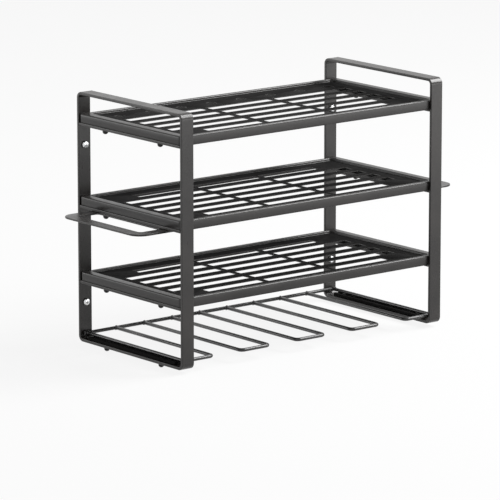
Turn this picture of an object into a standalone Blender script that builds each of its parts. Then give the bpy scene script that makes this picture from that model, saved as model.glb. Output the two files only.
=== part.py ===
"""Wall mounted organizer, built at real size in metres, +Z up.

Two closed side frames of flat strip carry three pressed shelf trays on welded crossbars.
Loops of bent rod at the bottom leave four gaps between them to hang things in, and a flat loop
stands out beside each side frame. X = 0 is the middle, Y = 0 is the wall behind the frames
with the front towards -Y, and Z = 0 is the underside of the side frames.
"""
import math

import bmesh
import bpy
from mathutils import Matrix, Vector

MM = 0.001

# Fits and cutting
FIT_GAP = 0.3 * MM
CUT_OVERRUN = 2 * MM
WELD_DISTANCE = 0.01 * MM

# Whole rack, over the side frames
RACK_WIDTH = 460 * MM
RACK_DEPTH = 231 * MM

# Heights from the underside of the frames up: rim of the lower shelf, then from rim to rim,
# then from the rim of the top shelf to the top of the frames
DRILL_BAY_RISE = 98 * MM
LOWER_BAY_RISE = 105.7 * MM
UPPER_BAY_RISE = 114.5 * MM
TOP_BAR_RISE = 30.3 * MM

# Flat strip of the side frames and crossbars
STRIP_WIDTH = 20 * MM
STRIP_THICKNESS = 4 * MM
FRAME_CORNER_RADIUS = 8.5 * MM
STRIP_EDGE_ROUND = 0.5 * MM

# Assembly screws and their nuts
SCREW_RADIUS = 2.4 * MM
SCREW_HOLE_CLEARANCE = 0.35 * MM
SCREW_HEAD_RADIUS = 4 * MM
SCREW_HEAD_HEIGHT = 5.5 * MM
SCREW_HEAD_RIM = 1.6 * MM
SCREW_END_SETBACK = 55 * MM
SCREW_SIDE_INSET = 7 * MM
SCREW_TIP = 0.6 * MM
SCREW_POINT = 0.5 * MM
NUT_ACROSS_FLATS = 8 * MM
NUT_HEIGHT = 4 * MM

# Pressed shelf trays
SHEET_THICKNESS = 1.2 * MM
BEND_INNER_RADIUS = 0.8 * MM
SHELF_SIDE_INSET = 1 * MM
SHELF_CORNER_RADIUS = 4 * MM
SIDE_RIM_WIDTH = 13.5 * MM
END_RIM_WIDTH = 5.5 * MM
DECK_RECESS = 3.5 * MM
NUT_HEADROOM = 1.2 * MM
END_FLANGE_DROP = 1.5 * MM
LIP_SETBACK = 3 * MM
LIP_RELIEF = 6 * MM

# Slots and round holes in the decks
SLOT_ROWS = 6
SLOT_WIDTH = 16 * MM
CENTRE_SLOT_LENGTH = 110 * MM
SLOT_ROW_MARGIN = 38.75 * MM
LONG_ROW_MARGIN = 33 * MM
SHORT_ROW_MARGIN = 70 * MM
SLOT_WEB = 8 * MM
DRIVER_HOLES = 8
DRIVER_HOLE_RADIUS = 7 * MM
DRIVER_HOLE_MARGIN = 44.5 * MM

# Rod rack at the bottom
ROD_RADIUS = 2.5 * MM
ROD_SETBACK = 8 * MM
ROD_END_INSET = 4 * MM
DRILL_LOOPS = 5
LOOP_LEG_SPACING = 49 * MM
OUTER_LEG_INSET = 9.5 * MM
LOOP_BEND_RADIUS = 6 * MM
MOUNT_STRIP_WIDTH = 16 * MM
MOUNT_STRIP_THICKNESS = 4.1 * MM
MOUNT_STRIP_SETBACK = 20 * MM

# Flat loops outside the side frames
SIDE_LOOP_THICKNESS = 2.5 * MM
SIDE_LOOP_BAR = 17 * MM
SIDE_LOOP_GAP = 35 * MM
SIDE_LOOP_LEG = 19 * MM
SIDE_LOOP_SETBACK = 29 * MM
SIDE_LOOP_OUTER_RADIUS = 18 * MM
SIDE_LOOP_INNER_RADIUS = 5 * MM
SIDE_LOOP_LEG_RADIUS = 3 * MM

# Screws into the wall
WALL_SCREW_RADIUS = 2.2 * MM
WALL_SCREW_HEAD_RADIUS = 5 * MM
WALL_SCREW_HEAD_HEIGHT = 3.4 * MM
WALL_SCREW_HEAD_RIM = 1 * MM
WALL_SCREW_GRIP = 9 * MM
WALL_SCREW_POINT = 4 * MM
WALL_SCREW_DROP = 27.5 * MM

# Smoothness
CORNER_STEPS = 6
SHELF_CORNER_STEPS = 3
ROD_BEND_STEPS = 6
SCREW_HOLE_STEPS = 16
DRIVER_HOLE_STEPS = 20
SCREW_STEPS = 10
DOME_STEPS = 3

# Places that follow from the sizes
HALF_WIDTH = RACK_WIDTH / 2
FRONT_Y = -RACK_DEPTH
LOWER_RIM_Z = DRILL_BAY_RISE
MIDDLE_RIM_Z = LOWER_RIM_Z + LOWER_BAY_RISE
TOP_RIM_Z = MIDDLE_RIM_Z + UPPER_BAY_RISE
FRAME_HEIGHT = TOP_RIM_Z + TOP_BAR_RISE
RIM_HEIGHTS = {"lower": LOWER_RIM_Z, "middle": MIDDLE_RIM_Z, "top": TOP_RIM_Z}
SIDES = {"left": -1, "right": 1}
WALL_SCREW_NAMES = ("left_upper", "left_lower", "right_upper", "right_lower")

STRIP_CENTRE_X = HALF_WIDTH - STRIP_WIDTH / 2
SCREW_X = HALF_WIDTH - SCREW_SIDE_INSET
SCREW_YS = (FRONT_Y + SCREW_END_SETBACK, -SCREW_END_SETBACK)
SCREW_HOLE_RADIUS = SCREW_RADIUS + SCREW_HOLE_CLEARANCE
SIDE_FLANGE_HEIGHT = (DECK_RECESS + SHEET_THICKNESS + NUT_HEADROOM + SCREW_TIP + NUT_HEIGHT
                      + FIT_GAP + SHEET_THICKNESS)
CROSSBAR_DROP = SIDE_FLANGE_HEIGHT + FIT_GAP
CROSSBAR_LENGTH = RACK_DEPTH - 2 * (STRIP_THICKNESS + FIT_GAP)
MOUNT_STRIP_Z = STRIP_THICKNESS + FIT_GAP
ROD_Z = MOUNT_STRIP_Z + MOUNT_STRIP_THICKNESS + FIT_GAP + ROD_RADIUS

FINISHES = {
    "frame": ((0.020, 0.020, 0.022, 1), 0.45, 0.0),
    "shelf": ((0.016, 0.016, 0.018, 1), 0.50, 0.0),
    "rod": ((0.018, 0.018, 0.020, 1), 0.40, 0.0),
    "black_screw": ((0.010, 0.010, 0.010, 1), 0.35, 0.6),
    "zinc": ((0.60, 0.61, 0.62, 1), 0.30, 1.0),
}


def clear_scene():
    """Remove every object that is already in the file."""
    for old in list(bpy.data.objects):
        bpy.data.objects.remove(old, do_unlink=True)


def new_collection(name):
    """A collection in the scene."""
    collection = bpy.data.collections.new(name)
    bpy.context.scene.collection.children.link(collection)
    return collection


def finish_material(name, finish):
    """A material of its own for one piece, from the table of finishes."""
    colour, roughness, metallic = FINISHES[finish]
    material = bpy.data.materials.new(name + "_finish")
    material.use_nodes = True
    shader = material.node_tree.nodes["Principled BSDF"]
    shader.inputs["Base Color"].default_value = colour
    shader.inputs["Roughness"].default_value = roughness
    shader.inputs["Metallic"].default_value = metallic
    material.diffuse_color = colour
    return material


def add_piece(name, data, finish, location=(0, 0, 0), rotation=(0, 0, 0)):
    """A piece of the rack, placed and hung under the rack's empty."""
    piece = bpy.data.objects.new(name, data)
    PIECES.objects.link(piece)
    piece.parent = RACK
    piece.location = location
    piece.rotation_euler = rotation
    if not data.materials:
        data.materials.append(None)
    piece.material_slots[0].link = "OBJECT"
    piece.material_slots[0].material = finish_material(name, finish)
    return piece


def add_cutter(name, data, location=(0, 0, 0)):
    """A closed shape that only cuts others."""
    cutter = bpy.data.objects.new(name, data)
    CUTTERS.objects.link(cutter)
    cutter.location = location
    cutter.hide_render = True
    cutter.display_type = "WIRE"
    return cutter


def cut(piece, cutter):
    """Take a cutter's shape out of a piece."""
    boolean = piece.modifiers.new("cut_" + cutter.name, "BOOLEAN")
    boolean.operation = "DIFFERENCE"
    boolean.solver = "EXACT"
    boolean.object = cutter


def round_edges(piece, width):
    """Round the sharp edges of a piece that is a closed mesh."""
    bevel = piece.modifiers.new("edge_round", "BEVEL")
    bevel.width = width
    bevel.segments = 2
    bevel.limit_method = "ANGLE"
    bevel.angle_limit = math.radians(50)


def mesh_from(bm, name, smooth=False):
    """Finish a bmesh as a mesh, with round faces shaded smooth if asked."""
    mesh = bpy.data.meshes.new(name)
    bm.to_mesh(mesh)
    bm.free()
    if smooth:
        mesh.shade_smooth()
        mesh.set_sharp_from_angle(angle=math.radians(35))
    return mesh


def boxes_mesh(name, boxes):
    """Closed boxes in one mesh, each from its lowest and highest corner."""
    bm = bmesh.new()
    for low, high in boxes:
        low, high = Vector(low), Vector(high)
        verts = bmesh.ops.create_cube(bm, size=1)["verts"]
        bmesh.ops.scale(bm, vec=high - low, verts=verts)
        bmesh.ops.translate(bm, vec=(low + high) / 2, verts=verts)
    return mesh_from(bm, name)


def pins_mesh(name, places, radius, low, high, steps=SCREW_HOLE_STEPS, along_y=False):
    """Closed cylinders in one mesh, upright at places (x, y) or along Y at places (x, z)."""
    bm = bmesh.new()
    turn = Matrix.Rotation(math.radians(-90), 4, "X") if along_y else Matrix.Identity(4)
    for x, other in places:
        centre = (x, (low + high) / 2, other) if along_y else (x, other, (low + high) / 2)
        bmesh.ops.create_cone(bm, cap_ends=True, segments=steps, radius1=radius, radius2=radius,
                              depth=high - low, matrix=Matrix.Translation(centre) @ turn)
    return mesh_from(bm, name)


def evaluated_mesh(source, name):
    """The mesh that an object's curve or modifiers make, with its caps welded on."""
    bpy.context.view_layer.update()
    graph = bpy.context.evaluated_depsgraph_get()
    mesh = bpy.data.meshes.new_from_object(source.evaluated_get(graph))
    mesh.name = name
    bm = bmesh.new()
    bm.from_mesh(mesh)
    bmesh.ops.remove_doubles(bm, verts=bm.verts, dist=WELD_DISTANCE)
    bm.to_mesh(mesh)
    bm.free()
    mesh.materials.clear()
    return mesh


def closed_spline(curve, points):
    """Add a closed outline to a flat curve."""
    spline = curve.splines.new("POLY")
    spline.points.add(len(points) - 1)
    for point, (x, y) in zip(spline.points, points):
        point.co = (x, y, 0, 1)
    spline.use_cyclic_u = True


def plate_mesh(name, outlines, thickness):
    """A flat plate, half its thickness each side of its plane. An outline inside another is a hole."""
    curve = bpy.data.curves.new(name, "CURVE")
    curve.dimensions = "2D"
    curve.fill_mode = "BOTH"
    curve.extrude = thickness / 2
    for points in outlines:
        closed_spline(curve, points)
    flat = bpy.data.objects.new(name, curve)
    CUTTERS.objects.link(flat)
    mesh = evaluated_mesh(flat, name)
    bpy.data.objects.remove(flat)
    return mesh


def rounded_outline(corners, steps=CORNER_STEPS):
    """Points of a closed outline from its square corners (x, y, radius), anticlockwise."""
    points = []
    for index, (x, y, radius) in enumerate(corners):
        corner = Vector((x, y))
        before = (Vector(corners[index - 1][:2]) - corner).normalized()
        after = (Vector(corners[(index + 1) % len(corners)][:2]) - corner).normalized()
        centre = corner + (before + after) * radius
        for step in range(steps + 1):
            angle = math.radians(90) * step / steps
            spoke = -after * math.cos(angle) - before * math.sin(angle)
            points.append(tuple(centre + spoke * radius))
    return points


def circle_outline(x, y, radius, steps):
    """Points round a circle. Six steps with their corners along Y make a hexagon for a nut."""
    angles = [math.radians(90) + math.tau * step / steps for step in range(steps)]
    return [(x + radius * math.cos(a), y + radius * math.sin(a)) for a in angles]


def turned_mesh(name, profile, steps):
    """A profile of (radius, height) points, from the top down its outer side, turned about Z."""
    mesh = bpy.data.meshes.new(name)
    edges = [(index, index + 1) for index in range(len(profile) - 1)]
    mesh.from_pydata([(radius, 0, height) for radius, height in profile], edges, [])
    blank = bpy.data.objects.new(name, mesh)
    CUTTERS.objects.link(blank)
    screw = blank.modifiers.new("turn", "SCREW")
    screw.steps = steps
    screw.render_steps = steps
    screw.use_merge_vertices = True
    screw.merge_threshold = WELD_DISTANCE
    turned = evaluated_mesh(blank, name)
    bpy.data.objects.remove(blank)
    return turned


def screw_line_cutter():
    """The four upright lines that the assembly screws stand on, up to the top crossbars."""
    places = [(side * SCREW_X, y) for side in SIDES.values() for y in SCREW_YS]
    top = TOP_RIM_Z - CROSSBAR_DROP + CUT_OVERRUN
    mesh = pins_mesh("screw_lines", places, SCREW_HOLE_RADIUS, -CUT_OVERRUN, top)
    return add_cutter("screw_lines", mesh)


def wall_screw_places():
    """X and height of the four wall screws, below the top and the lower crossbars."""
    heights = [rim - CROSSBAR_DROP - STRIP_THICKNESS - WALL_SCREW_DROP for rim in (TOP_RIM_Z, LOWER_RIM_Z)]
    return [(side * STRIP_CENTRE_X, height) for side in SIDES.values() for height in heights]


def side_frames(screw_lines):
    """Two closed loops of strip, with holes for the wall screws and the rod rack's screws."""
    outer = [(-RACK_DEPTH, 0), (0, 0), (0, FRAME_HEIGHT), (-RACK_DEPTH, FRAME_HEIGHT)]
    inner = [(-RACK_DEPTH + STRIP_THICKNESS, STRIP_THICKNESS), (-STRIP_THICKNESS, STRIP_THICKNESS),
             (-STRIP_THICKNESS, FRAME_HEIGHT - STRIP_THICKNESS),
             (-RACK_DEPTH + STRIP_THICKNESS, FRAME_HEIGHT - STRIP_THICKNESS)]
    outlines = [rounded_outline([(y, z, FRAME_CORNER_RADIUS) for y, z in outer]),
                rounded_outline([(y, z, FRAME_CORNER_RADIUS - STRIP_THICKNESS) for y, z in inner])]
    loop = plate_mesh("side_frame", outlines, STRIP_WIDTH)
    wall_holes = add_cutter("wall_screw_holes", pins_mesh(
        "wall_screw_holes", wall_screw_places(), WALL_SCREW_RADIUS + SCREW_HOLE_CLEARANCE,
        -STRIP_THICKNESS - CUT_OVERRUN, CUT_OVERRUN, along_y=True))
    for side, sign in SIDES.items():
        frame = add_piece(side + "_side_frame", loop, "frame", location=(sign * STRIP_CENTRE_X, 0, 0),
                          rotation=(math.radians(90), 0, math.radians(90)))
        round_edges(frame, STRIP_EDGE_ROUND)
        cut(frame, screw_lines)
        cut(frame, wall_holes)


def crossbars(screw_lines):
    """Six straight strips between the uprights, one under each end of each shelf."""
    half = Vector((STRIP_WIDTH, CROSSBAR_LENGTH, STRIP_THICKNESS)) / 2
    bar_mesh = boxes_mesh("crossbar", [(-half, half)])
    for level, rim in RIM_HEIGHTS.items():
        height = rim - CROSSBAR_DROP - STRIP_THICKNESS / 2
        for side, sign in SIDES.items():
            bar = add_piece(f"{level}_{side}_crossbar", bar_mesh, "frame",
                            location=(sign * STRIP_CENTRE_X, FRONT_Y / 2, height))
            round_edges(bar, STRIP_EDGE_ROUND)
            cut(bar, screw_lines)


def corner_ring(bm, half_x, half_y, height):
    """A level ring of edges, square in plan with round corners."""
    spots = [(-half_x, -half_y), (half_x, -half_y), (half_x, half_y), (-half_x, half_y)]
    outline = rounded_outline([(x, y, SHELF_CORNER_RADIUS) for x, y in spots], SHELF_CORNER_STEPS)
    verts = [bm.verts.new((x, y, height)) for x, y in outline]
    return [bm.edges.new((verts[index - 1], verts[index])) for index in range(len(verts))]


def bend(bm, radius, test):
    """Round the square edges that pass a test."""
    edges = [e for e in bm.edges if len(e.link_faces) == 2
             and e.calc_face_angle() > math.radians(80) and test(e)]
    bmesh.ops.bevel(bm, geom=edges, offset=radius, offset_type="OFFSET", segments=2,
                    profile=0.5, affect="EDGES", clamp_overlap=True)


def at_height(height):
    """A test for level edges at one height."""
    return lambda edge: all(abs(vert.co.z - height) < WELD_DISTANCE for vert in edge.verts)


def shelf_sheet():
    """The outer face of a shelf tray: flanges, rim, and the deck set down inside the rim.

    The rim's top is at height zero. Rings with round corners are joined one to the next, and
    the bends are rounded afterwards. Lips for the screws turn in from the side flanges' feet.
    """
    half_x = HALF_WIDTH - SHELF_SIDE_INSET
    half_y = CROSSBAR_LENGTH / 2
    rings = [(half_x, half_y, -SIDE_FLANGE_HEIGHT), (half_x, half_y, 0),
             (half_x - SIDE_RIM_WIDTH, half_y - END_RIM_WIDTH, 0),
             (half_x - SIDE_RIM_WIDTH, half_y - END_RIM_WIDTH, -DECK_RECESS)]
    bm = bmesh.new()
    loops = [corner_ring(bm, *ring) for ring in rings]
    for lower, upper in zip(loops, loops[1:]):
        bmesh.ops.bridge_loops(bm, edges=lower + upper)
    bmesh.ops.contextual_create(bm, geom=loops[-1])
    bmesh.ops.recalc_face_normals(bm, faces=bm.faces)
    if max(bm.faces, key=lambda face: face.calc_area()).normal.z < 0:
        bmesh.ops.reverse_faces(bm, faces=bm.faces)
    bend(bm, BEND_INNER_RADIUS + SHEET_THICKNESS, at_height(0))
    bend(bm, BEND_INNER_RADIUS, at_height(-DECK_RECESS))
    fold_flanges(bm, half_x, half_y)
    return mesh_from(bm, "shelf_sheet", smooth=True)


def fold_flanges(bm, half_x, half_y):
    """Drop the end flanges below the crossbars' tops, and turn the side flanges' lips in."""
    drop_x = HALF_WIDTH - STRIP_WIDTH - FIT_GAP
    lip_y = half_y - LIP_RELIEF
    for x, y in ((-drop_x, 0), (drop_x, 0), (0, -lip_y), (0, lip_y)):
        foot = {item for e in bm.edges if e.is_boundary for item in (e, *e.verts)}
        place = Vector((x, y, 0))
        bmesh.ops.bisect_plane(bm, geom=list(foot), plane_co=place, plane_no=place.normalized(),
                               dist=WELD_DISTANCE)
    ends = [e for e in bm.edges if e.is_boundary
            and all(abs(v.co.x) < drop_x + WELD_DISTANCE for v in e.verts)]
    sides = [e for e in bm.edges if e.is_boundary
             and all(abs(v.co.y) < lip_y + WELD_DISTANCE for v in e.verts)]
    for v in extrude_edges(bm, ends):
        v.co.z -= END_FLANGE_DROP
    lip_inner = HALF_WIDTH - STRIP_WIDTH + LIP_SETBACK
    for v in extrude_edges(bm, sides):
        v.co.x = math.copysign(lip_inner, v.co.x)


def extrude_edges(bm, edges):
    """Extrude boundary edges in place and return the new verts."""
    made = bmesh.ops.extrude_edge_only(bm, edges=edges)["geom"]
    return [item for item in made if isinstance(item, bmesh.types.BMVert)]


def slot_boxes(rows):
    """Slots across the deck in three columns. The first and last rows are shorter."""
    low_z = -DECK_RECESS - SHEET_THICKNESS - CUT_OVERRUN
    high_z = -DECK_RECESS + CUT_OVERRUN
    centre = CENTRE_SLOT_LENGTH / 2
    boxes = []
    for row in rows:
        margin = SHORT_ROW_MARGIN if row in (0, SLOT_ROWS - 1) else LONG_ROW_MARGIN
        reach = HALF_WIDTH - margin
        low_y = slot_row_y(row) - SLOT_WIDTH / 2
        for left, right in ((-reach, -centre - SLOT_WEB), (-centre, centre), (centre + SLOT_WEB, reach)):
            boxes.append(((left, low_y, low_z), (right, low_y + SLOT_WIDTH, high_z)))
    return boxes


def slot_row_y(row):
    """Middle of a row of slots, in a tray whose origin is the middle of its depth."""
    span = RACK_DEPTH - 2 * SLOT_ROW_MARGIN
    return -span / 2 + span * row / (SLOT_ROWS - 1)


def driver_hole_places():
    """Middles of the round holes, in the line of the rearmost slot row."""
    span = RACK_WIDTH - 2 * DRIVER_HOLE_MARGIN
    return [(-span / 2 + span * hole / (DRIVER_HOLES - 1), slot_row_y(SLOT_ROWS - 1))
            for hole in range(DRIVER_HOLES)]


def shelves():
    """Three trays on the crossbars. The top one has a row of round holes behind its slots."""
    sheet = shelf_sheet()
    deck_low = -DECK_RECESS - SHEET_THICKNESS - CUT_OVERRUN
    deck_high = -DECK_RECESS + CUT_OVERRUN
    all_slots = boxes_mesh("shelf_slots", slot_boxes(range(SLOT_ROWS)))
    front_slots = boxes_mesh("top_shelf_slots", slot_boxes(range(SLOT_ROWS - 1)))
    driver_holes = pins_mesh("driver_holes", driver_hole_places(), DRIVER_HOLE_RADIUS, deck_low, deck_high,
                             DRIVER_HOLE_STEPS)
    screw_places = [(side * SCREW_X, y - FRONT_Y / 2) for side in SIDES.values() for y in SCREW_YS]
    lip_low = -SIDE_FLANGE_HEIGHT - CUT_OVERRUN
    lip_high = -SIDE_FLANGE_HEIGHT + SHEET_THICKNESS + CUT_OVERRUN
    lip_holes = pins_mesh("lip_holes", screw_places, SCREW_HOLE_RADIUS, lip_low, lip_high)
    for level, rim in RIM_HEIGHTS.items():
        place = (0, FRONT_Y / 2, rim)
        shelf = add_piece(level + "_shelf", sheet, "shelf", location=place)
        solidify = shelf.modifiers.new("sheet", "SOLIDIFY")
        solidify.thickness = SHEET_THICKNESS
        solidify.offset = -1
        solidify.use_even_offset = True
        solidify.use_quality_normals = True
        cuts = {"lip_holes": lip_holes, "slots": front_slots if level == "top" else all_slots}
        if level == "top":
            cuts["driver_holes"] = driver_holes
        for kind, mesh in cuts.items():
            cut(shelf, add_cutter(f"{level}_{kind}", mesh, location=place))


def rod_curve(name, points):
    """A round rod along points, as a curve with filled ends."""
    curve = bpy.data.curves.new(name, "CURVE")
    curve.dimensions = "3D"
    curve.bevel_depth = ROD_RADIUS
    curve.bevel_resolution = 4
    curve.use_fill_caps = True
    spline = curve.splines.new("POLY")
    spline.points.add(len(points) - 1)
    for point, (x, y) in zip(spline.points, points):
        point.co = (x, y, 0, 1)
    return curve


def drill_loop_points():
    """A loop open to the wall: two legs joined at the front by two round bends."""
    half = LOOP_LEG_SPACING / 2
    end_y = -ROD_SETBACK - ROD_RADIUS - FIT_GAP
    front_y = FRONT_Y + ROD_SETBACK
    points = [(-half, end_y)]
    for sign, start in ((-1, 180), (1, 270)):
        centre_x = sign * (half - LOOP_BEND_RADIUS)
        for step in range(ROD_BEND_STEPS + 1):
            angle = math.radians(start + 90 * step / ROD_BEND_STEPS)
            points.append((centre_x + LOOP_BEND_RADIUS * math.cos(angle),
                           front_y + LOOP_BEND_RADIUS * (1 + math.sin(angle))))
    points.append((half, end_y))
    return points


def drill_rack(screw_lines):
    """Five loops of rod on a rear rod, standing on two strips on the frames' bottom bars."""
    loop = rod_curve("drill_loop", drill_loop_points())
    first_x = -HALF_WIDTH + OUTER_LEG_INSET + LOOP_LEG_SPACING / 2
    for number in range(DRILL_LOOPS):
        x = first_x * (1 - 2 * number / (DRILL_LOOPS - 1))
        add_piece(f"drill_loop_{number + 1}", loop, "rod", location=(x, 0, ROD_Z))
    reach = HALF_WIDTH - ROD_END_INSET
    rear = rod_curve("rear_rod", [(-reach, 0), (reach, 0)])
    add_piece("drill_rack_rear_rod", rear, "rod", location=(0, -ROD_SETBACK, ROD_Z))
    half = Vector((MOUNT_STRIP_WIDTH, RACK_DEPTH - 2 * MOUNT_STRIP_SETBACK, MOUNT_STRIP_THICKNESS)) / 2
    strip_mesh = boxes_mesh("mount_strip", [(-half, half)])
    for side, sign in SIDES.items():
        strip = add_piece(f"drill_rack_{side}_strip", strip_mesh, "rod", location=(
            sign * STRIP_CENTRE_X, FRONT_Y / 2, MOUNT_STRIP_Z + MOUNT_STRIP_THICKNESS / 2))
        round_edges(strip, STRIP_EDGE_ROUND)
        cut(strip, screw_lines)


def side_loop_outlines(sign):
    """Outline and opening of a flat loop, in X and Y, for the left (-1) or right (1) side."""
    outer_x = HALF_WIDTH + SIDE_LOOP_GAP + SIDE_LOOP_BAR
    leg_x = HALF_WIDTH - SIDE_LOOP_LEG
    front = FRONT_Y + SIDE_LOOP_SETBACK
    rear = -SIDE_LOOP_SETBACK
    outer = [(leg_x, front, SIDE_LOOP_LEG_RADIUS), (outer_x, front, SIDE_LOOP_OUTER_RADIUS),
             (outer_x, rear, SIDE_LOOP_OUTER_RADIUS), (leg_x, rear, SIDE_LOOP_LEG_RADIUS)]
    gap_x = HALF_WIDTH + SIDE_LOOP_GAP
    gap_front = front + SIDE_LOOP_BAR
    gap_rear = rear - SIDE_LOOP_BAR
    spots = [(HALF_WIDTH, gap_front), (gap_x, gap_front), (gap_x, gap_rear), (HALF_WIDTH, gap_rear)]
    inner = [(x, y, SIDE_LOOP_INNER_RADIUS) for x, y in spots]
    return [[(sign * x, y) for x, y in rounded_outline(corners)] for corners in (outer, inner)]


def side_loops(screw_lines):
    """A flat loop on the left and its mirror image on the right, under the middle crossbars."""
    top = MIDDLE_RIM_Z - CROSSBAR_DROP - STRIP_THICKNESS - FIT_GAP
    for name, side in (("hammer_rack", "left"), ("pliers_rack", "right")):
        mesh = plate_mesh(name, side_loop_outlines(SIDES[side]), SIDE_LOOP_THICKNESS)
        loop = add_piece(name, mesh, "frame", location=(0, 0, top - SIDE_LOOP_THICKNESS / 2))
        round_edges(loop, STRIP_EDGE_ROUND)
        cut(loop, screw_lines)


def domed_profile(head_radius, head_height, head_rim, shank_radius, shank_length, point, tip_radius):
    """A domed screw, from the top of its head at its full height down to its point below zero."""
    dome = head_height - head_rim
    profile = []
    for step in range(DOME_STEPS + 1):
        angle = math.radians(90) * step / DOME_STEPS
        profile.append((head_radius * math.sin(angle), head_rim + dome * math.cos(angle)))
    profile += [(head_radius, 0), (shank_radius, 0), (shank_radius, point - shank_length),
                (tip_radius, -shank_length)]
    if tip_radius > 0:
        profile.append((0, -shank_length))
    return profile


def corners():
    """The four upright screw lines: a name, X and Y for each."""
    ends = {"front": SCREW_YS[0], "rear": SCREW_YS[1]}
    return [(f"{side}_{end}", sign * SCREW_X, y)
            for side, sign in SIDES.items() for end, y in ends.items()]


def assembly_screws():
    """Four screws to a level, up through the strips and into the nuts on the shelf lips."""
    for level, rim in RIM_HEIGHTS.items():
        seat = rim - CROSSBAR_DROP - STRIP_THICKNESS - FIT_GAP
        if level == "middle":
            seat -= SIDE_LOOP_THICKNESS + FIT_GAP
        tip = rim - SIDE_FLANGE_HEIGHT + SHEET_THICKNESS + FIT_GAP + NUT_HEIGHT + SCREW_TIP
        add_screws(level + "_shelf_screw", seat, tip)
    add_screws("drill_rack_screw", -FIT_GAP, MOUNT_STRIP_Z + MOUNT_STRIP_THICKNESS - FIT_GAP)


def add_screws(name, seat, tip):
    """Four screws with their heads hanging below a seat and their tips at one height."""
    profile = domed_profile(SCREW_HEAD_RADIUS, SCREW_HEAD_HEIGHT, SCREW_HEAD_RIM, SCREW_RADIUS, tip - seat,
                            SCREW_POINT, SCREW_RADIUS - SCREW_POINT)
    screw = turned_mesh(name, profile, SCREW_STEPS)
    for corner, x, y in corners():
        add_piece(f"{name}_{corner}", screw, "black_screw", location=(x, y, seat),
                  rotation=(math.radians(180), 0, 0))


def nuts():
    """A hexagon nut on the lip at each screw, inside each shelf."""
    corner_radius = NUT_ACROSS_FLATS / 2 / math.cos(math.radians(30))
    outlines = [circle_outline(0, 0, corner_radius, 6),
                circle_outline(0, 0, SCREW_RADIUS + FIT_GAP, SCREW_STEPS)]
    nut = plate_mesh("nut", outlines, NUT_HEIGHT)
    for level, rim in RIM_HEIGHTS.items():
        middle = rim - SIDE_FLANGE_HEIGHT + SHEET_THICKNESS + FIT_GAP + NUT_HEIGHT / 2
        for corner, x, y in corners():
            add_piece(f"{level}_shelf_nut_{corner}", nut, "zinc", location=(x, y, middle))


def wall_screws():
    """Four screws through the rear uprights, with their heads towards the front."""
    seat_y = -STRIP_THICKNESS - FIT_GAP
    profile = domed_profile(WALL_SCREW_HEAD_RADIUS, WALL_SCREW_HEAD_HEIGHT, WALL_SCREW_HEAD_RIM,
                            WALL_SCREW_RADIUS, WALL_SCREW_GRIP - seat_y, WALL_SCREW_POINT, 0)
    screw = turned_mesh("wall_screw", profile, SCREW_STEPS)
    for place, (x, z) in zip(WALL_SCREW_NAMES, wall_screw_places()):
        add_piece("wall_screw_" + place, screw, "zinc", location=(x, seat_y, z),
                  rotation=(math.radians(90), 0, 0))


clear_scene()
PIECES = new_collection("power_tool_organizer")
CUTTERS = new_collection("cutters")
RACK = bpy.data.objects.new("power_tool_organizer", None)
PIECES.objects.link(RACK)
SCREW_LINES = screw_line_cutter()
side_frames(SCREW_LINES)
crossbars(SCREW_LINES)
shelves()
drill_rack(SCREW_LINES)
side_loops(SCREW_LINES)
assembly_screws()
nuts()
wall_screws()
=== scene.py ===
"""Looks for the wall mounted organizer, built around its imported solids.

Every piece is worked out as a grid of points: a section carried along a path, or rings stacked
one on the next. Lengths are in metres in the frame of the solids: X = 0 is the middle, Y = 0 is
the wall with the front towards -Y, and Z = 0 is the underside of the side frames.
"""

import math

import bpy
import numpy as np
from mathutils import Matrix, Vector


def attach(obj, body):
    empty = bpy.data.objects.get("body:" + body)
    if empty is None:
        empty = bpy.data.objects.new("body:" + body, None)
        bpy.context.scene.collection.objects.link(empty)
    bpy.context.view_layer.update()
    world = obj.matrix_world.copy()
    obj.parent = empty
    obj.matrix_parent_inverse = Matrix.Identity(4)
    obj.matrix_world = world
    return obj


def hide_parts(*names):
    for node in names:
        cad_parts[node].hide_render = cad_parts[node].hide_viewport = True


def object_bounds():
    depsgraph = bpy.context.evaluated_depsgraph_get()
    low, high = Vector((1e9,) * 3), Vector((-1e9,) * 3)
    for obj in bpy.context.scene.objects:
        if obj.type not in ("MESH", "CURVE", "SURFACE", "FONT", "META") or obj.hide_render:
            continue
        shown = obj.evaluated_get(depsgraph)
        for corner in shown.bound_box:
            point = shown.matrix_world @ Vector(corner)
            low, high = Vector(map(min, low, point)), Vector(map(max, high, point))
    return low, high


MM = 0.001
TURN = 2 * np.pi
GAP = 0.3 * MM
SHARP_ANGLE = math.radians(35)

HALF_WIDTH = 230 * MM
DEPTH = 231 * MM
HEIGHT = 348.5 * MM
STRIP_WIDTH = 20 * MM
STRIP_THICKNESS = 4 * MM
CORNER_RADIUS = 8.5 * MM
STRIP_CENTRE_X = HALF_WIDTH - STRIP_WIDTH / 2
EDGE_ROUND = 0.6 * MM
LEAST_ROUND = 0.08 * MM
FLAT_MARGIN = 0.4 * MM

RIMS = {"lower": 98 * MM, "middle": 203.7 * MM, "top": 318.2 * MM}
SIDES = {"left": -1, "right": 1}
ENDS = {"front": -DEPTH + 55 * MM, "rear": -55 * MM}
SCREW_X = HALF_WIDTH - 7 * MM

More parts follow.
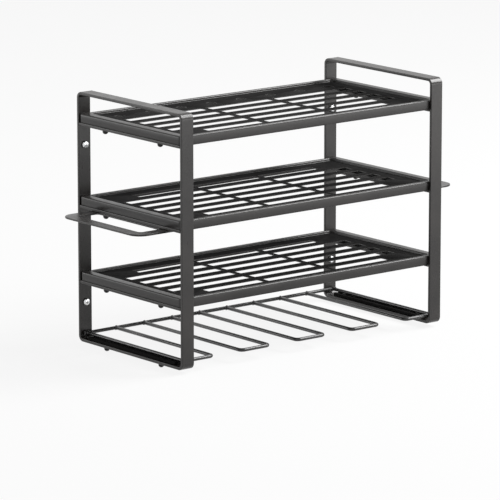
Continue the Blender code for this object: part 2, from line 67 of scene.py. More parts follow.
FLANGE_HEIGHT = 12 * MM
CROSSBAR_DROP = FLANGE_HEIGHT + GAP
CROSSBAR_HALF = DEPTH / 2 - STRIP_THICKNESS - GAP
SHEET = 1.2 * MM
INNER_BEND = 0.8 * MM
OUTER_BEND = INNER_BEND + SHEET
BEND_STEPS = 6
SHELF_HALF_X = HALF_WIDTH - 1 * MM
SHELF_CORNER = 4 * MM
SIDE_RIM = 13.5 * MM
END_RIM = 5.5 * MM
DECK_RECESS = 3.5 * MM
FLANGE_DROP = 1.5 * MM
DROP_X = HALF_WIDTH - STRIP_WIDTH - GAP
LIP_Y = CROSSBAR_HALF - 6 * MM
LIP_INNER_X = HALF_WIDTH - 17 * MM
DECK_MARGIN = 0.8 * MM
PRESSED_EDGE = 0.28 * MM
CUTTER_REACH = 2 * MM

SLOT_ROWS = 6
SLOT_WIDTH = 16 * MM
SLOT_CORNER = 1.4 * MM
SLOT_SPAN = DEPTH - 77.5 * MM
CENTRE_SLOT_HALF = 55 * MM
SLOT_WEB = 8 * MM
LONG_REACH = HALF_WIDTH - 33 * MM
SHORT_REACH = HALF_WIDTH - 70 * MM
DRIVER_HOLES = 8
DRIVER_HOLE_RADIUS = 7 * MM
DRIVER_HOLE_REACH = HALF_WIDTH - 44.5 * MM

ROD_RADIUS = 2.5 * MM
ROD_SETBACK = 8 * MM
ROD_Z = 11.2 * MM
LOOP_HALF = 24.5 * MM
LOOP_BEND = 6 * MM
LOOP_CENTRES = np.array([-196, -98, 0, 98, 196]) * MM
ROD_SIDES = 28
ROD_EDGE = 0.5 * MM
REAR_ROD_REACH = 226 * MM
MOUNT_STRIP_HALF = 8 * MM
MOUNT_STRIP_THICKNESS = 4.1 * MM
MOUNT_STRIP_SETBACK = 20 * MM

SIDE_LOOP_THICKNESS = 2.5 * MM
SIDE_LOOP_BAR = 17 * MM
SIDE_LOOP_GAP = 35 * MM
SIDE_LOOP_LEG = 19 * MM
SIDE_LOOP_SETBACK = 29 * MM
SIDE_LOOP_CORNER = 18 * MM
SIDE_LOOP_LEG_CORNER = 3 * MM
SIDE_LOOP_INNER_CORNER = 5 * MM

SCREW_RADIUS = 2.4 * MM
HOLE_RADIUS = 2.75 * MM
HEAD_RADIUS = 4 * MM
HEAD_HEIGHT = 5.5 * MM
HEAD_RIM = 1.6 * MM
HEAD_EDGE = 0.35 * MM
HEAD_MOUTH_ANGLE = 0.42
SOCKET_FLATS = 3.0 * MM
SOCKET_DEPTH = 2.4 * MM
THREAD_PITCH = 0.8 * MM
THREAD_DEPTH = 0.32 * MM
THREAD_START = 0.4 * MM
TIP_CHAMFER = 0.5 * MM
TIP_MIDDLE = 0.4 * MM
SCREW_PAST_NUT = 0.6 * MM
NUT_FLATS = 8 * MM
NUT_HEIGHT = 4 * MM
NUT_CHAMFER = 0.35 * MM
NUT_SLOPE = 0.6
WALL_SCREW_RADIUS = 2.2 * MM
WALL_HEAD_RADIUS = 5 * MM
WALL_HEAD_HEIGHT = 3.4 * MM
WALL_HEAD_CROWN = 0.4 * MM
WALL_HEAD_BEND = 1.6 * MM
WALL_HEAD_BEND_HEIGHT = 1.9 * MM
WALL_HEAD_EDGE = 0.3 * MM
WALL_NECK_STEP = 0.2 * MM
WALL_SCREW_NECK = 4.6 * MM
WALL_SCREW_POINT = 4 * MM
WALL_SCREW_REACH = 9 * MM
WALL_SCREW_DROP = 27.5 * MM
WALL_THREAD_PITCH = 1.7 * MM
WALL_THREAD_HEIGHT = 0.6 * MM
WALL_HOLE_CLEARANCE = 0.35 * MM
CROSS_ARM = 2.6 * MM
CROSS_HALF = 0.55 * MM

CROSSBAR_BEAD_HALF = 8 * MM
CROSSBAR_BEAD_RADIUS = 1.5 * MM
LEG_TACK_HALF = 4 * MM
LEG_TACK_RADIUS = 0.9 * MM
LEG_TACK_SETBACK = 36 * MM
LEG_TACK_INSET = 1.3 * MM
COLLAR_LENGTH = 1.9 * MM

AIM = Vector((0, -0.1, 0.15))
FLOOR_GLOW = 0.88
SKY_LIGHT = 0.25


# Grids and meshes

def skin(rings, loop=False):
    """Faces over rings of points, given as (ring, place round it, xyz).

    A face joins places i and i + 1 of ring j to the same places of ring j + 1. The last ring
    joins the first if it is a loop, and otherwise each end gets a flat cap. All faces turn round
    if the volume inside them comes out negative.
    """
    count, size = rings.shape[:2]
    ring, place = np.meshgrid(np.arange(count if loop else count - 1), np.arange(size), indexing="ij")
    ring, place = ring.ravel(), place.ravel()
    after, beside = (ring + 1) % count * size, (place + 1) % size
    quads = np.stack([ring * size + place, ring * size + beside, after + beside, after + place], axis=1)
    points = rings.reshape(-1, 3)
    caps = [] if loop else [np.arange(size)[::-1], np.arange(size) + (count - 1) * size]
    a, b, c, d = (points[quads[:, corner]] for corner in range(4))
    volume = (np.cross(a, b) * c + np.cross(a, c) * d).sum()
    for cap in caps:
        volume += (np.cross(points[cap[1:-1]], points[cap[2:]]) * points[cap[0]]).sum()
    faces = [quads] + [cap[None] for cap in caps]
    if volume < 0:
        faces = [group[:, ::-1] for group in faces]
    return points, faces


def joined(*shells):
    """Several shells as one: the points stacked, and each shell's faces moved up by those before."""
    before = np.cumsum([0] + [len(points) for points, _ in shells[:-1]])
    faces = [group + shift for (_, groups), shift in zip(shells, before) for group in groups]
    return np.concatenate([points for points, _ in shells]), faces


def mesh_of(name, shell):
    """A smooth mesh of a shell, whose edges of more than 35 degrees stay sharp."""
    points, faces = shell
    mesh = bpy.data.meshes.new(name)
    mesh.from_pydata(points.tolist(), [], [face for group in faces for face in group.tolist()])
    mesh.shade_smooth()
    mesh.set_sharp_from_angle(angle=SHARP_ANGLE)
    return mesh


def placed(shell, offset):
    """A shell moved by an offset."""
    return shell[0] + np.asarray(offset), shell[1]


def flipped(shell):
    """A shell turned upside down about X: Y and Z change sign."""
    return shell[0] * (1, -1, -1), shell[1]


# Outlines and sections

def outline(low, high, radii, steps, margins=FLAT_MARGIN):
    """A rectangle with round corners, anticlockwise, as points and outward directions in the plane.

    Corner k starts at k quarter turns and holds the arc centre + r (cos a, sin a). One more point
    lies on the side before the arc and one after it, a margin away, so that flat sides shade flat.
    """
    low, high = np.asarray(low, float), np.asarray(high, float)
    radii = np.broadcast_to(np.asarray(radii, float), 4)
    margins = np.broadcast_to(np.asarray(margins, float), (4, 2))
    sweep = np.concatenate([[0], np.linspace(0, np.pi / 2, steps + 1), [np.pi / 2]])
    angle = sweep + np.arange(4)[:, None] * np.pi / 2
    direction = np.stack([np.cos(angle), np.sin(angle)], axis=2)
    tangent = np.stack([-np.sin(angle), np.cos(angle)], axis=2)
    slide = np.zeros_like(angle)
    slide[:, 0] = -margins[:, 0]
    slide[:, -1] = margins[:, 1]
    corner = np.array([(high[0], high[1]), (low[0], high[1]), (low[0], low[1]), (high[0], low[1])])
    inward = np.array([(-1, -1), (1, -1), (1, 1), (-1, 1)])
    centre = corner + inward * radii[:, None]
    points = centre[:, None] + direction * radii[:, None, None] + tangent * slide[:, :, None]
    return points.reshape(-1, 2), direction.reshape(-1, 2)


def rounded_block(low, high, edge=EDGE_ROUND, steps=3):
    """A block with every edge rounded, as sections stacked along Y that shrink towards both ends.

    At a height of r (1 - cos a) from an end the section in X and Z is inset by r (1 - sin a).
    """
    low, high = np.asarray(low, float), np.asarray(high, float)
    angle = np.linspace(0, np.pi / 2, steps + 1)
    inset = np.concatenate([[edge + FLAT_MARGIN], edge * (1 - np.sin(angle))])
    rise = np.concatenate([[0], edge * (1 - np.cos(angle))])
    insets = np.concatenate([inset, [0], [0], inset[::-1]])
    ys = np.concatenate([low[1] + rise, [low[1] + edge + FLAT_MARGIN], [high[1] - edge - FLAT_MARGIN],
                         high[1] - rise[::-1]])
    rings = []
    for shrink, y in zip(insets, ys):
        radius = max(edge - shrink, LEAST_ROUND)
        flat, _ = outline(low[[0, 2]] + shrink, high[[0, 2]] - shrink, radius, steps)
        rings.append(np.stack([flat[:, 0], np.full(len(flat), y), flat[:, 1]], axis=1))
    return skin(np.array(rings))


def rod(path):
    """A round rod along a level path of points (x, y, z), with the edges of its ends rounded.

    Each ring is centre + r (cos a side + sin a up), where side lies across the path's direction.
    """
    path = np.asarray(path, float)
    along = np.gradient(path, axis=0)
    along[0], along[-1] = path[1] - path[0], path[-1] - path[-2]
    along /= np.linalg.norm(along, axis=1, keepdims=True)
    bevel = ROD_EDGE * 0.29
    inset = np.array([ROD_EDGE + FLAT_MARGIN, ROD_EDGE, bevel, 0])
    rise = np.array([0, 0, bevel, ROD_EDGE])
    start = path[0] + along[0] * rise[:, None]
    finish = path[-1] - along[-1] * rise[::-1, None]
    centres = np.concatenate([start, path[1:-1], finish])
    along = np.concatenate([np.repeat(along[:1], 4, axis=0), along[1:-1], np.repeat(along[-1:], 4, axis=0)])
    radii = ROD_RADIUS - np.concatenate([inset, np.zeros(len(path) - 2), inset[::-1]])
    up = np.array([0, 0, 1.0])
    side = np.cross(up, along)
    angle = np.linspace(0, TURN, ROD_SIDES, endpoint=False)
    ring = np.cos(angle)[None, :, None] * side[:, None] + np.sin(angle)[None, :, None] * up
    return skin(centres[:, None] + radii[:, None, None] * ring)


# Frames, bars and loops

def side_frame(centre_x):
    """A flat strip carried round an upright rectangle with round corners, as one closed loop.

    With P the outer line, n its outward direction and (w, t) a point of the strip's section, the
    surface is P - t n in Y and Z, and centre + w in X.
    """
    line, outward = outline((-DEPTH, 0), (0, HEIGHT), CORNER_RADIUS, 18, 1 * MM)
    half = STRIP_WIDTH / 2
    section, _ = outline((-half, 0), (half, STRIP_THICKNESS), EDGE_ROUND, 4)
    flat = line[:, None] - outward[:, None] * section[None, :, 1:]
    across = np.broadcast_to(centre_x + section[None, :, :1], flat.shape[:2] + (1,))
    return skin(np.concatenate([across, flat], axis=2), loop=True)


def side_loop(sign, top):
    """A flat loop between an outer and an inner rectangle, both with round corners.

    The section goes round the bar: out along the top, over a quarter round, down the outer edge,
    and back by the underside and the inner edge. Each point is inset from its own outline.
    """
    outer_x = HALF_WIDTH + SIDE_LOOP_GAP + SIDE_LOOP_BAR
    leg_x = HALF_WIDTH - SIDE_LOOP_LEG
    front, rear = -DEPTH + SIDE_LOOP_SETBACK, -SIDE_LOOP_SETBACK
    low, high = (leg_x, front), (outer_x, rear)
    inner_low = (HALF_WIDTH, front + SIDE_LOOP_BAR)
    inner_high = (HALF_WIDTH + SIDE_LOOP_GAP, rear - SIDE_LOOP_BAR)
    outer_radii = np.array([SIDE_LOOP_CORNER, SIDE_LOOP_LEG_CORNER, SIDE_LOOP_LEG_CORNER, SIDE_LOOP_CORNER])
    edge = EDGE_ROUND
    angle = np.linspace(0, np.pi / 2, 5)
    inset = np.concatenate([[edge + FLAT_MARGIN], edge * (1 - np.sin(angle)), [0, 0],
                            edge * (1 - np.sin(angle[::-1])), [edge + FLAT_MARGIN]])
    drop = np.concatenate([[0], edge * (1 - np.cos(angle)), [edge + FLAT_MARGIN]])
    drop = np.concatenate([drop, SIDE_LOOP_THICKNESS - drop[::-1]])
    rings = []
    for shrink, down in zip(inset, drop):
        flat, _ = outline(np.add(low, shrink), np.subtract(high, shrink), outer_radii - shrink, 12)
        rings.append(np.column_stack([sign * flat[:, 0], flat[:, 1], np.full(len(flat), top - down)]))
    for shrink, down in zip(inset[::-1], drop[::-1]):
        flat, _ = outline(np.subtract(inner_low, shrink), np.add(inner_high, shrink),
                          SIDE_LOOP_INNER_CORNER + shrink, 12)
        rings.append(np.column_stack([sign * flat[:, 0], flat[:, 1], np.full(len(flat), top - down)]))
    return skin(np.array(rings), loop=True)


def drill_loop(centre_x):
    """A rod bent to an open loop: two straight legs and a quarter turn at the front of each.

    The left turn is x = -half + r (1 - cos a), y = bend - r sin a, and the right one its mirror image.
    """
    end_y = -ROD_SETBACK - ROD_RADIUS - GAP
    bend_y = -DEPTH + ROD_SETBACK + LOOP_BEND
    turn = np.linspace(0, np.pi / 2, 15)
    left = np.column_stack([-LOOP_HALF + LOOP_BEND * (1 - np.cos(turn)), bend_y - LOOP_BEND * np.sin(turn)])
    right = left[::-1] * (-1, 1)
    path = np.concatenate([[(-LOOP_HALF, end_y), (-LOOP_HALF, bend_y + LOOP_BEND)], left, right,
                           [(LOOP_HALF, bend_y + LOOP_BEND), (LOOP_HALF, end_y)]])
    return rod(np.column_stack([path[:, 0] + centre_x, path[:, 1], np.full(len(path), ROD_Z)]))


# Pressed shelves

def shelf_ring(inset_x, inset_y, radius, height):
    """A level ring of the shelf's skin, with points where the foot's drop and lips begin."""
    half_x, half_y = SHELF_HALF_X - inset_x, CROSSBAR_HALF - inset_y
    to_drop = half_x - radius - DROP_X
    to_lip = max(half_y - radius - LIP_Y, FLAT_MARGIN)
    margins = [(to_lip, to_drop), (to_drop, to_lip)] * 2
    flat, _ = outline((-half_x, -half_y), (half_x, half_y), radius, 6, margins)
    return np.column_stack([flat, np.full(len(flat), height)])


def shelf_skin(rim):
    """The outer face of a tray as rings from the flange's foot up, over the rim and down to the deck.

    A bend of radius r moves in by r (1 - cos a) while it rises by r sin a. Then the side flanges'
    feet turn in as lips, and the end flanges' feet drop.
    """
    turn = np.linspace(0, np.pi / 2, BEND_STEPS + 1)
    rings = [shelf_ring(0, 0, SHELF_CORNER, -FLANGE_HEIGHT)]
    for a in turn:
        inset = OUTER_BEND * (1 - math.cos(a))
        rings.append(shelf_ring(inset, inset, SHELF_CORNER - inset, OUTER_BEND * (math.sin(a) - 1)))
    for a in turn:
        back = OUTER_BEND * (1 - math.sin(a))
        rings.append(shelf_ring(SIDE_RIM - back, END_RIM - back, SHELF_CORNER + back,
                                OUTER_BEND * (math.cos(a) - 1)))
    for a in turn:
        inset = INNER_BEND * (1 - math.cos(a))
        rings.append(shelf_ring(SIDE_RIM + inset, END_RIM + inset, SHELF_CORNER - inset,
                                INNER_BEND * (1 - math.sin(a)) - DECK_RECESS))
    inset = INNER_BEND + DECK_MARGIN
    rings.append(shelf_ring(SIDE_RIM + inset, END_RIM + inset, SHELF_CORNER - inset, -DECK_RECESS))
    points, faces = skin(np.array(rings))
    size = len(rings[0])
    per_corner = size // 4
    deck = np.arange(size) + (len(rings) - 1) * size
    foot = rings[0]
    extra = []
    skirts = []
    for corner in range(4):
        before, after = (corner * per_corner - 1) % size, corner * per_corner
        ends = foot[[before, after]].copy()
        if corner % 2:
            ends[:, 2] -= FLANGE_DROP
        else:
            ends[:, 0] = np.sign(ends[:, 0]) * LIP_INNER_X
        first = len(points) + 2 * len(extra)
        extra.append(ends)
        skirts.append((first, first + 1, after, before))
    points = np.concatenate([points] + extra)
    points = points + (0, -DEPTH / 2, rim)
    return points, [faces[0], deck[None], np.array(skirts)]


def slot_rows(level):
    """Middle of each row in Y with its slots' ends in X. The first and last rows are shorter."""
    rows = SLOT_ROWS - 1 if level == "top" else SLOT_ROWS
    for row in range(rows):
        reach = SHORT_REACH if row in (0, SLOT_ROWS - 1) else LONG_REACH
        y = -DEPTH / 2 - SLOT_SPAN / 2 + SLOT_SPAN * row / (SLOT_ROWS - 1)
        inner = CENTRE_SLOT_HALF + SLOT_WEB
        for left, right in ((-reach, -inner), (-CENTRE_SLOT_HALF, CENTRE_SLOT_HALF), (inner, reach)):
            yield y, left, right


def upright_prism(flat, low, high):
    """A closed prism on a flat outline, from a low to a high level."""
    rings = [np.column_stack([flat, np.full(len(flat), level)]) for level in (low, high)]
    return skin(np.array(rings))


def circle(x, y, radius, steps):
    """Points round a circle: centre + r (cos a, sin a)."""
    angle = np.linspace(0, TURN, steps, endpoint=False)
    return np.column_stack([x + radius * np.cos(angle), y + radius * np.sin(angle)])


def slot_cutters(level, rim):
    """Prisms for a shelf's slots, and for the round holes behind those of the top shelf."""
    deck = rim - DECK_RECESS
    low, high = deck - SHEET - CUTTER_REACH, deck + CUTTER_REACH
    half = SLOT_WIDTH / 2
    prisms = []
    for y, left, right in slot_rows(level):
        flat, _ = outline((left, y - half), (right, y + half), SLOT_CORNER, 4)
        prisms.append(upright_prism(flat, low, high))
    if level == "top":
        y = -DEPTH / 2 + SLOT_SPAN / 2
        for x in np.linspace(-DRIVER_HOLE_REACH, DRIVER_HOLE_REACH, DRIVER_HOLES):
            prisms.append(upright_prism(circle(x, y, DRIVER_HOLE_RADIUS, 40), low, high))
    return joined(*prisms)


def screw_line_cutters(low, high):
    """Round prisms on the four upright lines of the assembly screws."""
    return joined(*[upright_prism(circle(sign * SCREW_X, y, HOLE_RADIUS, 24), low, high)
                    for sign in SIDES.values() for y in ENDS.values()])


# Screws and nuts

def hexagon(angle, flats):
    """Distance from the middle to a hexagon's side at an angle: half the flats / cos of the rest."""
    rest = (angle + np.pi / 6) % (np.pi / 3) - np.pi / 6
    return flats / 2 / np.cos(rest)


def turned(profile, sides, squeeze=None):
    """Rings of a profile of (radius, height), each (radius cos a, radius sin a, height).

    A function of angle, radius and height may reshape the radii first.
    """
    angle = np.linspace(0, TURN, sides, endpoint=False)
    profile = np.asarray(profile, float)
    radius = np.repeat(profile[:, :1], sides, axis=1)
    if squeeze is not None:
        radius = squeeze(angle[None], radius, profile[:, 1:])
    height = np.repeat(profile[:, 1:], sides, axis=1)
    return np.stack([radius * np.cos(angle), radius * np.sin(angle), height], axis=2)


def thread_rows(start, stop, pitch, per_turn=5):
    """Heights along a thread, with some rows to each turn of it."""
    return np.linspace(start, stop, max(int(abs(stop - start) / pitch * per_turn), 2))


def ridge(angle, height, pitch):
    """A thread's ridge from 0 to 1: a triangle wave of height / pitch + angle / turn."""
    phase = (height / pitch + angle / TURN) % 1
    return 1 - np.abs(2 * phase - 1)


def machine_screw(length):
    """A domed head with a six-sided socket, above a shank with a fine thread. The seat is at zero.

    The dome is radius R sin a at height rim + dome cos a. The thread takes depth (1 - ridge) off
    the shank's radius.
    """
    dome = HEAD_HEIGHT - HEAD_RIM
    a = np.linspace(HEAD_MOUTH_ANGLE, np.pi / 2, 9)
    head = np.column_stack([HEAD_RADIUS * np.sin(a), HEAD_RIM + dome * np.cos(a)])
    mouth = head[0]
    half, floor = SOCKET_FLATS / 2, HEAD_HEIGHT - SOCKET_DEPTH
    inner = [(0.25 * MM, floor - 0.5 * MM), (half, floor), (half, mouth[1] - 0.35 * MM),
             (half + 0.02 * MM, mouth[1] - 0.25 * MM)]
    rim = [(HEAD_RADIUS, HEAD_EDGE), (HEAD_RADIUS - HEAD_EDGE, 0), (SCREW_RADIUS, 0)]
    rows = thread_rows(-THREAD_START, THREAD_PITCH - length, THREAD_PITCH)
    shank = np.column_stack([np.full(len(rows), SCREW_RADIUS), rows])
    tip = [(SCREW_RADIUS - TIP_CHAMFER, -length), (TIP_MIDDLE, -length)]
    profile = np.concatenate([inner, head, rim, shank, tip])
    hex_rows = len(inner)

    def reshape(angle, radius, height):
        wide = radius.copy()
        six = hexagon(angle, SOCKET_FLATS)
        wide[1:hex_rows] = np.broadcast_to(six, wide[1:hex_rows].shape) + radius[1:hex_rows] - half
        first = hex_rows + len(head) + len(rim)
        cut = THREAD_DEPTH * (1 - ridge(angle, height[first:first + len(rows)], THREAD_PITCH))
        wide[first:first + len(rows)] -= cut
        return wide

    return skin(turned(profile, 36, reshape))


def hexagon_nut():
    """A nut from zero up: six flats cut back by a cone at both faces, round a plain bore.

    The outer radius is the smaller of the hexagon's and the cone's at each height.
    """
    bore = SCREW_RADIUS + GAP
    corner = NUT_FLATS / 2 / math.cos(math.pi / 6)
    edge = corner - NUT_FLATS / 2
    rise = np.linspace(0, edge * NUT_SLOPE, 5)
    half = np.concatenate([rise, [NUT_HEIGHT / 2 - 0.01 * MM]])
    heights = np.concatenate([half, NUT_HEIGHT - half[::-1]])
    cone = NUT_FLATS / 2 - 0.1 * MM + np.minimum(heights, NUT_HEIGHT - heights) / NUT_SLOPE
    outside = np.column_stack([cone, heights])
    mouth = bore + NUT_CHAMFER
    inside = [(mouth, NUT_HEIGHT), (bore, NUT_HEIGHT - NUT_CHAMFER), (bore, NUT_CHAMFER), (mouth, 0)]
    profile = np.concatenate([outside, inside])

    def reshape(angle, radius, height):
        wide = radius.copy()
        wide[:len(outside)] = np.minimum(hexagon(angle, NUT_FLATS), radius[:len(outside)])
        return wide

    return skin(turned(profile, 48, reshape), loop=True)


def wall_screw():
    """A pan head, a plain neck, and a shank whose coarse thread runs down to a point.

    The head's bend is a quarter of an ellipse. The thread adds height times the sharp part of the
    ridge to the shank's radius, and both taper in a straight line to the point.
    """
    bend_top = WALL_HEAD_HEIGHT - WALL_HEAD_CROWN
    a = np.linspace(0, np.pi / 2, 10)
    bend = np.column_stack([WALL_HEAD_RADIUS - WALL_HEAD_BEND + WALL_HEAD_BEND * np.sin(a),
                            bend_top - WALL_HEAD_BEND_HEIGHT + WALL_HEAD_BEND_HEIGHT * np.cos(a)])
    crown = np.array([(0.3 * MM, WALL_HEAD_HEIGHT), (1.4 * MM, WALL_HEAD_HEIGHT - 0.08 * MM),
                      (2.6 * MM, WALL_HEAD_HEIGHT - 0.26 * MM)])
    neck_radius = WALL_SCREW_RADIUS - WALL_NECK_STEP
    rim = [(WALL_HEAD_RADIUS, WALL_HEAD_EDGE), (WALL_HEAD_RADIUS - WALL_HEAD_EDGE, 0),
           (WALL_SCREW_RADIUS, 0), (neck_radius, -WALL_HEAD_EDGE)]
    neck = -WALL_SCREW_NECK
    end = -(WALL_SCREW_REACH + STRIP_THICKNESS + GAP)
    point = end + WALL_SCREW_POINT
    rows = thread_rows(neck, end + 0.2 * MM, WALL_THREAD_PITCH, 7)
    taper = np.clip((rows - end) / (point - end), 0.08, 1)
    shank = np.column_stack([taper * (WALL_SCREW_RADIUS - WALL_THREAD_HEIGHT), rows])
    profile = np.concatenate([crown, bend, rim, [(neck_radius, neck + THREAD_START)], shank,
                              [(0.08 * MM, end)]])
    first = len(profile) - 1 - len(rows)

    def reshape(angle, radius, height):
        wide = radius.copy()
        high = ridge(angle, height[first:-1], WALL_THREAD_PITCH)
        wide[first:-1] += WALL_THREAD_HEIGHT * np.clip(high * 2.2 - 1.2, 0, 1) * taper[:, None]
        return wide

    return skin(turned(profile, 32, reshape))


def cross_recess():
    """A cutter for the cross recess: twelve corners that narrow as they go down into the head."""
    arm, half = CROSS_ARM, CROSS_HALF
    cross = np.array([(arm, -half), (arm, half), (half, half), (half, arm), (-half, arm), (-half, half),
                      (-arm, half), (-arm, -half), (-half, -half), (-half, -arm), (half, -arm),
                      (half, -half)])
    levels = (WALL_HEAD_HEIGHT + 0.5 * MM, WALL_HEAD_HEIGHT - 0.2 * MM, WALL_HEAD_HEIGHT - 2 * MM)
    shrink = (1.05, 1.0, 0.5)
    rings = [np.column_stack([cross * scale, np.full(12, level)]) for scale, level in zip(shrink, levels)]
    return skin(np.array(rings))


def facing_front(shell, place):
    """A shell made along Z, turned so that its top points to -Y: (x, y, z) goes to (x, -z, y) + place."""
    points, faces = shell
    return np.column_stack([points[:, 0], -points[:, 2], points[:, 1]]) + np.asarray(place), faces


# Welds

def weld_bead(start, finish, toward, radius, ripples):
    """A weld bead along a straight line, as squashed rings whose radius ripples and fades at the ends.

    The radius is r (1 - |2 s - 1| ^ 6) ^ 1/2 (1 + 0.13 |sin(pi n s)|), with s from 0 to 1 along it.
    """
    start, finish, toward = (np.asarray(v, float) for v in (start, finish, toward))
    s = np.linspace(0.01, 0.99, 6 * ripples)
    along = (finish - start) / np.linalg.norm(finish - start)
    other = np.cross(along, toward)
    size = radius * np.sqrt(1 - np.abs(2 * s - 1) ** 6) * (1 + 0.13 * np.abs(np.sin(np.pi * ripples * s)))
    angle = np.linspace(0, TURN, 12, endpoint=False)
    ring = np.cos(angle)[:, None] * toward * 0.8 + np.sin(angle)[:, None] * other
    centres = start + (finish - start) * s[:, None]
    return skin(centres[:, None] + size[:, None, None] * ring)


def rod_collar(x):
    """The weld where a loop's leg meets the rear rod: rings that flare from the leg to the rod.

    At a share t of its length the ring's radius is leg + flare t ^ 2, and its middle follows the
    rear rod's round face, so that it hugs both.
    """
    t = np.linspace(0, 1, 8)[:, None]
    angle = np.linspace(0, TURN, 24, endpoint=False)[None]
    radius = ROD_RADIUS * 0.97 + (0.1 + 1.0 * t ** 2) * MM * (1 + 0.12 * np.sin(5 * angle))
    across, up = radius * np.cos(angle), radius * np.sin(angle)
    face = -ROD_SETBACK - np.sqrt(np.maximum(ROD_RADIUS ** 2 - up ** 2, (0.35 * MM) ** 2))
    y = face * t + (-ROD_SETBACK - ROD_RADIUS - COLLAR_LENGTH) * (1 - t)
    return skin(np.stack([x + across, y, ROD_Z + up], axis=2))


# Shader nodes

class Socket:
    """An output of a shader node. Sums and products with numbers or other sockets add Math nodes."""

    def __init__(self, nodes, output):
        self.nodes = nodes
        self.output = output

    def maths(self, operation, first, second):
        return self.nodes.add("ShaderNodeMath", {"operation": operation}, {0: first, 1: second})

    def __add__(self, other):
        return self.maths("ADD", self, other)

    def __sub__(self, other):
        return self.maths("SUBTRACT", self, other)

    def __rsub__(self, other):
        return self.maths("SUBTRACT", other, self)

    def __mul__(self, other):
        return self.maths("MULTIPLY", self, other)

    __radd__ = __add__
    __rmul__ = __mul__


class Nodes:
    """The node tree of a material or of the world."""

    def __init__(self, owner):
        owner.use_nodes = True
        self.tree = owner.node_tree

    def add(self, kind, settings=None, sockets=None, output=0):
        """Add a node of a type: its settings first, then the values or links of its sockets."""
        node = self.tree.nodes.new(kind)
        for name, value in (settings or {}).items():
            setattr(node, name, value)
        for key, value in (sockets or {}).items():
            self.fill(node.inputs[key], value)
        return Socket(self, node.outputs[output])

    def fill(self, socket, value):
        """Link a socket to another, or set its value."""
        if isinstance(value, Socket):
            self.tree.links.new(value.output, socket)
        else:
            socket.default_value = value

    def noise(self, scale, detail, roughness=0.5, place=None):
        """Smooth noise from 0 to 1 over the object's coordinates."""
        place = place or self.add("ShaderNodeTexCoord", output=3)
        return self.add("ShaderNodeTexNoise", None, {"Vector": place, "Scale": scale, "Detail": detail,
                                                     "Roughness": roughness})

    def step(self, value, low, high):
        """A soft step: 0 below low, 1 above high."""
        return self.add("ShaderNodeMapRange", {"interpolation_type": "SMOOTHSTEP"},
                        {"Value": value, "From Min": low, "From Max": high})

    def blend(self, share, first, second):
        """One colour turning into another."""
        return self.add("ShaderNodeMix", {"data_type": "RGBA"}, {0: share, 6: first, 7: second}, output=2)

    def stretched(self, x, y, z):
        """The object's coordinates, scaled along each axis."""
        return self.add("ShaderNodeVectorMath", {"operation": "MULTIPLY"},
                        {0: self.add("ShaderNodeTexCoord", output=3), 1: (x, y, z)})

    def seen(self):
        """1 for rays from the camera, off a glossy face or through a clear one, and 0 for all others."""
        camera = self.add("ShaderNodeLightPath", output="Is Camera Ray")
        glossy = self.add("ShaderNodeLightPath", output="Is Glossy Ray")
        return camera + glossy + self.add("ShaderNodeLightPath", output="Is Transmission Ray")

    def bump(self, height, distance, normal=None):
        """The surface's normal, tipped by a height of 0 to 1 over a real distance."""
        sockets = {"Height": height, "Distance": distance, "Strength": 1.0}
        if normal:
            sockets["Normal"] = normal
        return self.add("ShaderNodeBump", None, sockets)


def surface(name, plain):
    """A material with constants on its shader's own sockets. Returns it, its nodes and its shader."""
    material = bpy.data.materials.new(name)
    nodes = Nodes(material)
    shader = nodes.tree.nodes["Principled BSDF"]
    for key, value in plain.items():
        shader.inputs[key].default_value = value
    return material, nodes, shader


def powder_coat(name, dark, light, roughness, shine, grain):
    """Baked powder coat: near black, softly clouded, with orange peel, fine grain and faint rubs."""
    material, nodes, shader = surface(name, {"Metallic": 0.0, "Specular IOR Level": shine})
    cloud = nodes.noise(16, 3, 0.55)
    patch = nodes.noise(75, 2, 0.6)
    fine = nodes.noise(2600, 2, 0.65)
    peel = nodes.noise(430, 1, 0.5)
    rub = nodes.step(nodes.noise(1, 3, 0.6, nodes.stretched(260, 34, 30)) * 0.75 + patch * 0.25, 0.60, 0.72)
    faces = nodes.add("ShaderNodeNewGeometry", output=1)
    up = nodes.add("ShaderNodeSeparateXYZ", None, {0: faces}, output=2)
    dust = nodes.step(up, 0.55, 0.95) * nodes.step(patch, 0.35, 0.75)
    tone = nodes.blend(nodes.step(cloud, 0.3, 0.7), dark, light)
    tone = nodes.blend(rub * 0.12, tone, (0.075, 0.074, 0.073, 1))
    tone = nodes.blend(dust * 0.02, tone, (0.30, 0.29, 0.28, 1))
    nodes.fill(shader.inputs["Base Color"], tone)
    varied = roughness + 0.10 * (cloud - 0.5) + 0.08 * (fine - 0.5) - 0.05 * rub + 0.06 * dust
    nodes.fill(shader.inputs["Roughness"], varied)
    relief = nodes.bump(fine, grain, nodes.bump(peel, 2.2 * grain))
    nodes.fill(shader.inputs["Normal"], relief)
    return material


def black_oxide():
    """Blackened steel of the assembly screws, with faint turning marks and a brown cast in places."""
    material, nodes, shader = surface("black_oxide", {"Metallic": 0.0, "Specular IOR Level": 0.24})
    cloud = nodes.noise(180, 3, 0.6)
    marks = nodes.noise(1, 2, 0.5, nodes.stretched(300, 300, 5200))
    tone = nodes.blend(cloud, (0.007, 0.007, 0.0075, 1), (0.018, 0.0165, 0.0155, 1))
    nodes.fill(shader.inputs["Base Color"], tone)
    nodes.fill(shader.inputs["Roughness"], 0.34 + 0.16 * (cloud - 0.5) + 0.10 * (marks - 0.5))
    nodes.fill(shader.inputs["Normal"], nodes.bump(marks, 0.008 * MM))
    return material


